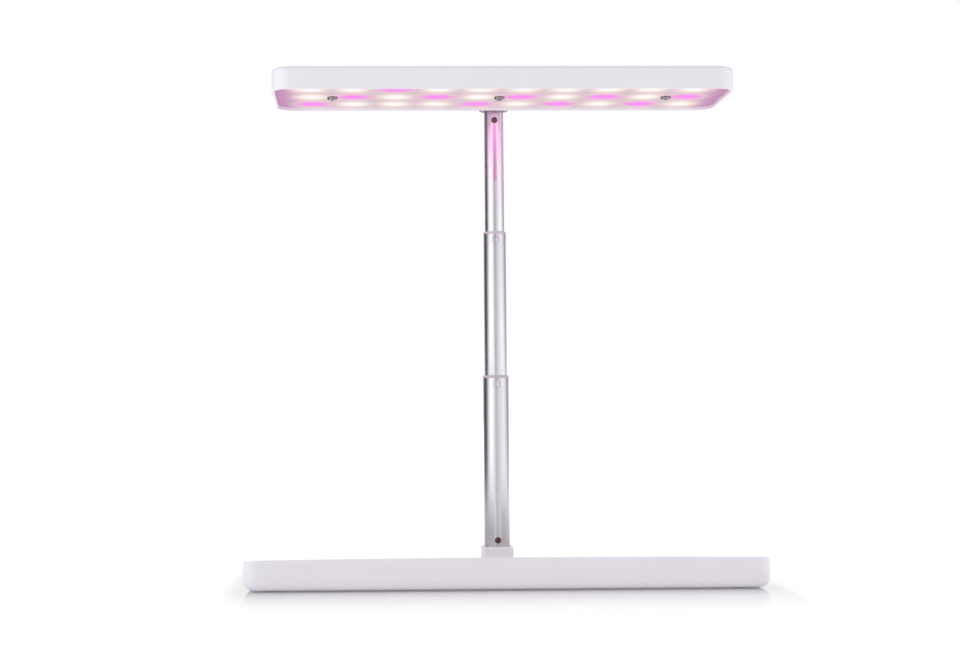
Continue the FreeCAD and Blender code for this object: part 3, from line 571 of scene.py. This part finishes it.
# %% [markdown]
# ## The three tubes
#
# Each section of the pole is a drawn tube. Metal shows every facet in its reflections, so the tubes
# are modelled again with many sides: an open cylinder gets its wall from Solidify, its ends are
# rounded over with Bevel, and the round windows for the snap button and the fixing screw are cut
# with rods. The key groove of the upper tube is cut with a long bar.

# %% Tubes
TUBE_WALL = 1.0 * MM
TUBE_SIDES = 128
END_ROUNDING = 0.25 * MM
WINDOW_GAP = 0.2 * MM
BORE_GAP = 0.08 * MM
SCREW_GAP = 0.12 * MM
BUTTON_FLANGE_STEP = 0.7 * MM
button_low, button_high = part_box("lower_snap_button")
button_radius = (button_high.z - button_low.z) / 2.0 - BUTTON_FLANGE_STEP
screw_low, screw_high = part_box("lower_fixing_screw")
screw_radius = (screw_high.z - screw_low.z) / 2.0


def open_tube(node):
    low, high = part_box(node)
    radius = (high.x - low.x) / 2.0
    start_fresh()
    bpy.ops.mesh.primitive_cylinder_add(
        vertices=TUBE_SIDES, radius=radius, depth=high.z - low.z, end_fill_type="NOTHING",
        location=(0.0, pole_y, (low.z + high.z) / 2.0))
    tube = bpy.context.object
    apply_modifier(tube, "SOLIDIFY", thickness=TUBE_WALL, offset=-1.0)
    apply_modifier(tube, "BEVEL", width=END_ROUNDING, segments=2, limit_method="ANGLE",
                   angle_limit=math.radians(50.0))
    return tube, radius


def window(tube, radius, hole_radius, height):
    centre = (0.0, pole_y - radius, height)
    cut_with(tube, rod_along_y(hole_radius, centre, radius))


tube, radius = open_tube("lower_tube")
window(tube, radius, button_radius + WINDOW_GAP, middle_of("lower_snap_button").z)
window(tube, radius, screw_radius + SCREW_GAP, middle_of("lower_fixing_screw").z)
settle(tube, "lower_pole_tube", "pole_aluminium", "base", "lower_tube")

tube, radius = open_tube("middle_tube")
window(tube, radius, button_radius + BORE_GAP, middle_of("lower_snap_button").z)
window(tube, radius, button_radius + WINDOW_GAP, middle_of("upper_snap_button").z)
settle(tube, "middle_pole_tube", "pole_aluminium", "middle_section", "middle_tube")

# %% Upper tube with its key groove
tube, radius = open_tube("upper_tube")
window(tube, radius, button_radius + BORE_GAP, middle_of("upper_snap_button").z)
window(tube, radius, screw_radius + SCREW_GAP, middle_of("upper_fixing_screw").z)
start_fresh()
groove_centre = (0.0, pole_y - radius, GROOVE_TOP - GROOVE_LENGTH / 2.0)
bpy.ops.mesh.primitive_cube_add(size=1.0, location=groove_centre)
bar = bpy.context.object
bar.scale = (GROOVE_WIDTH, 2.0 * GROOVE_DEPTH, GROOVE_LENGTH)
bpy.ops.object.transform_apply(location=False, rotation=False, scale=True)
cut_with(tube, bar)
settle(tube, "upper_pole_tube", "pole_aluminium", "lamp", "upper_tube")

# %% [markdown]
# ## Pan-head screws
#
# Three bright screws hold the diffuser. Each starts as a disc: its lower rim is rolled over into a
# dome with Bevel, the shank is inset and pulled out of the top face, and two crossed bars cut the
# slot. The screw is made once, copied twice with its own mesh, and the three are joined.

# %% Diffuser screws
PAN_RADIUS = 5.0 * MM
PAN_HEIGHT = 3.0 * MM
SHANK_RADIUS = 2.0 * MM
DOME_SHARE = 0.62
SLOT_LENGTH = 5.6 * MM
SLOT_WIDTH = 1.2 * MM
SLOT_DEPTH = 1.3 * MM


def disc(radius, centre, height, sides=64):
    start_fresh()
    bpy.ops.mesh.primitive_cylinder_add(vertices=sides, radius=radius, depth=height, location=centre)
    bpy.ops.object.transform_apply(location=True, rotation=False, scale=False)
    return bpy.context.object


def edit_face(piece, direction):
    """Go into edit mode with only the flat face that looks up (1) or down (-1) selected."""
    only(piece)
    bpy.ops.object.mode_set(mode="EDIT")
    bpy.ops.mesh.select_mode(type="FACE")
    bpy.ops.mesh.select_all(action="DESELECT")
    bpy.ops.object.mode_set(mode="OBJECT")
    faces = [face for face in piece.data.polygons if face.normal.z * direction > 0.9]
    outermost = max(face.center.z * direction for face in faces)
    for face in faces:
        face.select = abs(face.center.z * direction - outermost) < 0.00001
    bpy.ops.object.mode_set(mode="EDIT")


def leave_edit():
    bpy.ops.mesh.normals_make_consistent(inside=False)
    bpy.ops.object.mode_set(mode="OBJECT")


def round_over(piece, direction, width, segments=5):
    edit_face(piece, direction)
    bpy.ops.mesh.bevel(offset=width, segments=segments, profile=0.5, affect="EDGES")
    leave_edit()


def push_face(piece, direction, inset, travel):
    """Inset the end face and move the new face along Z."""
    edit_face(piece, direction)
    bpy.ops.mesh.inset(thickness=inset)
    bpy.ops.mesh.extrude_region_move(TRANSFORM_OT_translate={"value": (0.0, 0.0, travel)})
    leave_edit()


def copies(piece, moves):
    """Own-mesh copies of the piece, moved and joined to it."""
    family = [piece]
    for move in moves:
        other = piece.copy()
        other.data = piece.data.copy()
        bpy.context.scene.collection.objects.link(other)
        other.location = move
        family.append(other)
    start_fresh()
    for member in family:
        member.select_set(True)
    bpy.context.view_layer.objects.active = piece
    bpy.ops.object.join()
    return piece


low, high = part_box("diffuser_screws")
seat = low.z + PAN_HEIGHT
middle = (low + high) / 2.0
reach = (high.x - low.x) / 2.0 - PAN_RADIUS
screw = disc(PAN_RADIUS, (middle.x, middle.y, seat - PAN_HEIGHT / 2.0), PAN_HEIGHT)
round_over(screw, -1, PAN_HEIGHT * DOME_SHARE, segments=8)
push_face(screw, 1, PAN_RADIUS - SHANK_RADIUS, high.z - seat)
for turn in (0.0, math.pi / 2.0):
    start_fresh()
    bpy.ops.mesh.primitive_cube_add(size=1.0, location=(middle.x, middle.y, low.z),
                                    rotation=(0.0, 0.0, turn))
    bar = bpy.context.object
    bar.scale = (SLOT_LENGTH, SLOT_WIDTH, 2.0 * SLOT_DEPTH)
    bpy.ops.object.transform_apply(location=False, rotation=False, scale=True)
    cut_with(screw, bar)
copies(screw, [(-reach, 0.0, 0.0), (reach, 0.0, 0.0)])
settle(screw, "diffuser_pan_screws", "bright_screw", "lamp", "diffuser_screws")

# %% [markdown]
# ## Feet
#
# The feet are rubber discs with a rolled lower edge and a shallow suction cup, which is inset and
# pushed up into the disc. One foot is made and three copies take the other corners.

# %% Rubber feet
FOOT_RADIUS = 7.0 * MM
FOOT_ROUNDING = 0.4 * MM
CUP_INSET = 1.6 * MM
CUP_DEPTH = 0.5 * MM
CUP_ROUNDING = 0.15 * MM
low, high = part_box("rubber_feet")
first = (low.x + FOOT_RADIUS, low.y + FOOT_RADIUS, (low.z + high.z) / 2.0)
foot = disc(FOOT_RADIUS, first, high.z - low.z)
round_over(foot, -1, FOOT_ROUNDING, segments=4)
push_face(foot, -1, CUP_INSET, CUP_DEPTH)
round_over(foot, -1, CUP_ROUNDING, segments=2)
step_x = high.x - low.x - 2.0 * FOOT_RADIUS
step_y = high.y - low.y - 2.0 * FOOT_RADIUS
copies(foot, [(step_x, 0.0, 0.0), (0.0, step_y, 0.0), (step_x, step_y, 0.0)])
settle(foot, "rubber_foot_pads", "rubber", "base", "rubber_feet")

# %% [markdown]
# ## Floor, light and background
#
# The photograph has a white floor that mirrors the tray faintly, and nothing but white behind. The
# floor is a large sheet with a mirror in it that fades away from the tray, and it can be seen
# through from below. The world is white for the camera and for reflections, and weaker for the
# light that falls on surfaces, so that white plastic keeps its tone.

# %% Floor
FLOOR_SIZE = 60.0
FLOOR_LIFT = 0.44
FLOOR_BOUNCE = 0.28
FLOOR_NEAR = 0.3
FLOOR_FAR = 1.3
MIRROR_SHARE = 0.8
MIRROR_REACH = 0.28
MIRROR_SIDE_REACH = 0.03
tray_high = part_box("base_tray")[1]


def stage_floor():
    start_fresh()
    bpy.ops.mesh.primitive_plane_add(size=FLOOR_SIZE, location=(0.0, 0.0, 0.0))
    floor = bpy.context.object
    floor.name = "floor"
    finish, tree, shader = new_finish("floor_white", (0.88, 0.88, 0.88), 1.0)
    set_inputs(shader, Specular_IOR_Level=0.0, Emission_Color=(1.0, 1.0, 1.0, 1.0))
    path = add_node(tree, "ShaderNodeLightPath")
    seen = maths(tree, "MAXIMUM", path.outputs["Is Camera Ray"],
                 maths(tree, "MAXIMUM", path.outputs["Is Glossy Ray"],
                       path.outputs["Is Transmission Ray"]))
    mirror = set_inputs(add_node(tree, "ShaderNodeBsdfGlossy"), Roughness=0.05)
    place = add_node(tree, "ShaderNodeTexCoord")
    split = add_node(tree, "ShaderNodeSeparateXYZ")
    tree.links.new(place.outputs["Object"], split.inputs[0])
    far = add_node(tree, "ShaderNodeVectorMath", operation="LENGTH")
    tree.links.new(place.outputs["Object"], far.inputs[0])
    lift = add_node(tree, "ShaderNodeMapRange", interpolation_type="SMOOTHSTEP")
    set_inputs(lift, From_Min=FLOOR_NEAR, From_Max=FLOOR_FAR, To_Min=FLOOR_LIFT, To_Max=1.0)
    tree.links.new(far.outputs["Value"], lift.inputs["Value"])
    given = maths(tree, "MAXIMUM", maths(tree, "MULTIPLY", seen, lift.outputs["Result"]), FLOOR_BOUNCE)
    tree.links.new(given, shader.inputs["Emission Strength"])
    ahead = maths(tree, "SUBTRACT", maths(tree, "ABSOLUTE", split.outputs["Y"]), tray_high.y)
    beside = maths(tree, "SUBTRACT", maths(tree, "ABSOLUTE", split.outputs["X"]), tray_high.x)
    nearness = add_node(tree, "ShaderNodeMapRange")
    set_inputs(nearness, From_Min=0.0, From_Max=MIRROR_REACH, To_Min=1.0, To_Max=0.0)
    tree.links.new(ahead, nearness.inputs["Value"])
    share = maths(tree, "MULTIPLY", maths(tree, "POWER", nearness.outputs["Result"], 2.0), MIRROR_SHARE)
    share = maths(tree, "MULTIPLY", share, smooth_fall(tree, beside, 0.0, MIRROR_SIDE_REACH))
    blend = add_node(tree, "ShaderNodeMixShader")
    tree.links.new(share, blend.inputs["Fac"])
    tree.links.new(shader.outputs[0], blend.inputs[1])
    tree.links.new(mirror.outputs[0], blend.inputs[2])
    side = add_node(tree, "ShaderNodeNewGeometry")
    clear = add_node(tree, "ShaderNodeBsdfTransparent")
    one_sided = add_node(tree, "ShaderNodeMixShader")
    tree.links.new(side.outputs["Backfacing"], one_sided.inputs["Fac"])
    tree.links.new(blend.outputs[0], one_sided.inputs[1])
    tree.links.new(clear.outputs[0], one_sided.inputs[2])
    tree.links.new(one_sided.outputs[0], tree.nodes["Material Output"].inputs["Surface"])
    floor.data.materials.append(finish)


stage_floor()
print("floor", FLOOR_SIZE, "m")

# %% World
AMBIENT = 0.52


def white_world():
    world = bpy.data.worlds.new("studio")
    world.use_nodes = True
    tree = world.node_tree
    background = tree.nodes["Background"]
    path = add_node(tree, "ShaderNodeLightPath")
    seen = maths(tree, "MAXIMUM", path.outputs["Is Camera Ray"],
                 maths(tree, "MAXIMUM", path.outputs["Is Glossy Ray"],
                       path.outputs["Is Transmission Ray"]))
    strength = maths(tree, "MULTIPLY_ADD", seen, 1.0 - AMBIENT, AMBIENT)
    tree.links.new(strength, background.inputs["Strength"])
    set_inputs(background, Color=(1.0, 1.0, 1.0, 1.0))
    bpy.context.scene.world = world


white_world()
bpy.context.scene.view_settings.view_transform = "Standard"
print("world", AMBIENT)

# %% [markdown]
# ## Lamps and flags
#
# A large soft lamp at the upper left front and a weaker one at the right model the forms. Two
# strips at the sides brighten the round corners, and a faint pink lamp under the head adds to what
# the diffuser gives. Bright metal shows what stands around it, so four flags stand around the set,
# as a photographer would place them: two at the left give the tubes their dark left edge, and
# those at the right and in front give their soft greys. The flags are seen by reflections only.

# %% Lamps
def soft_lamp(name, place, target, size, power, tint=(1.0, 1.0, 1.0)):
    light = bpy.data.lights.new(name, "AREA")
    light.shape = "RECTANGLE"
    light.size, light.size_y = size
    light.energy = power
    light.color = tint
    lamp = bpy.data.objects.new(name, light)
    bpy.context.scene.collection.objects.link(lamp)
    direction = Vector(target) - Vector(place)
    aim = direction.to_track_quat("-Z", "Y").to_matrix().to_4x4()
    lamp.matrix_world = Matrix.Translation(place) @ aim
    return lamp


soft_lamp("key_lamp", (-1.45, -1.3, 0.9), (0.0, 0.0, 0.25), (1.6, 2.0), 9.6)
soft_lamp("fill_lamp", (1.7, -0.8, 0.6), (0.0, 0.0, 0.25), (1.4, 2.0), 4.5)
for name, place_x, power in (("left_strip", -1.5, 3.0), ("right_strip", 1.5, 4.0)):
    strip = soft_lamp(name, (place_x, 0.0, 0.4), (0.0, 0.0, 0.25), (0.6, 1.6), power)
    strip.visible_glossy = False
glow = soft_lamp("grow_light", (0.0, -0.022, 0.45), (0.0, -0.015, 0.0), (0.4, 0.1), 0.09,
                 linear(255, 190, 240))
glow.visible_camera = False
print("lamps ready")

# %% Flags
def flag(name, place, size, turn_z, grey):
    """An upright card that only reflections see."""
    start_fresh()
    bpy.ops.mesh.primitive_plane_add(size=1.0, location=place,
                                     rotation=(math.pi / 2.0, 0.0, turn_z))
    card = bpy.context.object
    card.name = name
    card.scale = (size[0], size[1], 1.0)
    finish, tree, shader = new_finish(name + "_card", (0.0, 0.0, 0.0), 1.0)
    set_inputs(shader, Emission_Color=(grey, grey, grey, 1.0), Emission_Strength=1.0,
               Specular_IOR_Level=0.0)
    card.data.materials.append(finish)
    for ray in ("camera", "diffuse", "transmission", "shadow", "volume_scatter"):
        setattr(card, "visible_" + ray, False)
    return card


flag("left_flag", (-1.25, 0.62, 0.35), (1.5, 2.4), math.radians(60.0), 0.02)
flag("low_left_flag", (-0.62, 0.32, 0.12), (0.75, 0.24), math.radians(60.0), 0.02)
flag("right_flag", (1.25, 0.85, 0.35), (0.9, 2.4), math.radians(-57.0), 0.4)
flag("lens_flag", (-0.05, -2.0, 0.35), (0.8, 2.4), 0.0, 0.25)
print("flags ready")
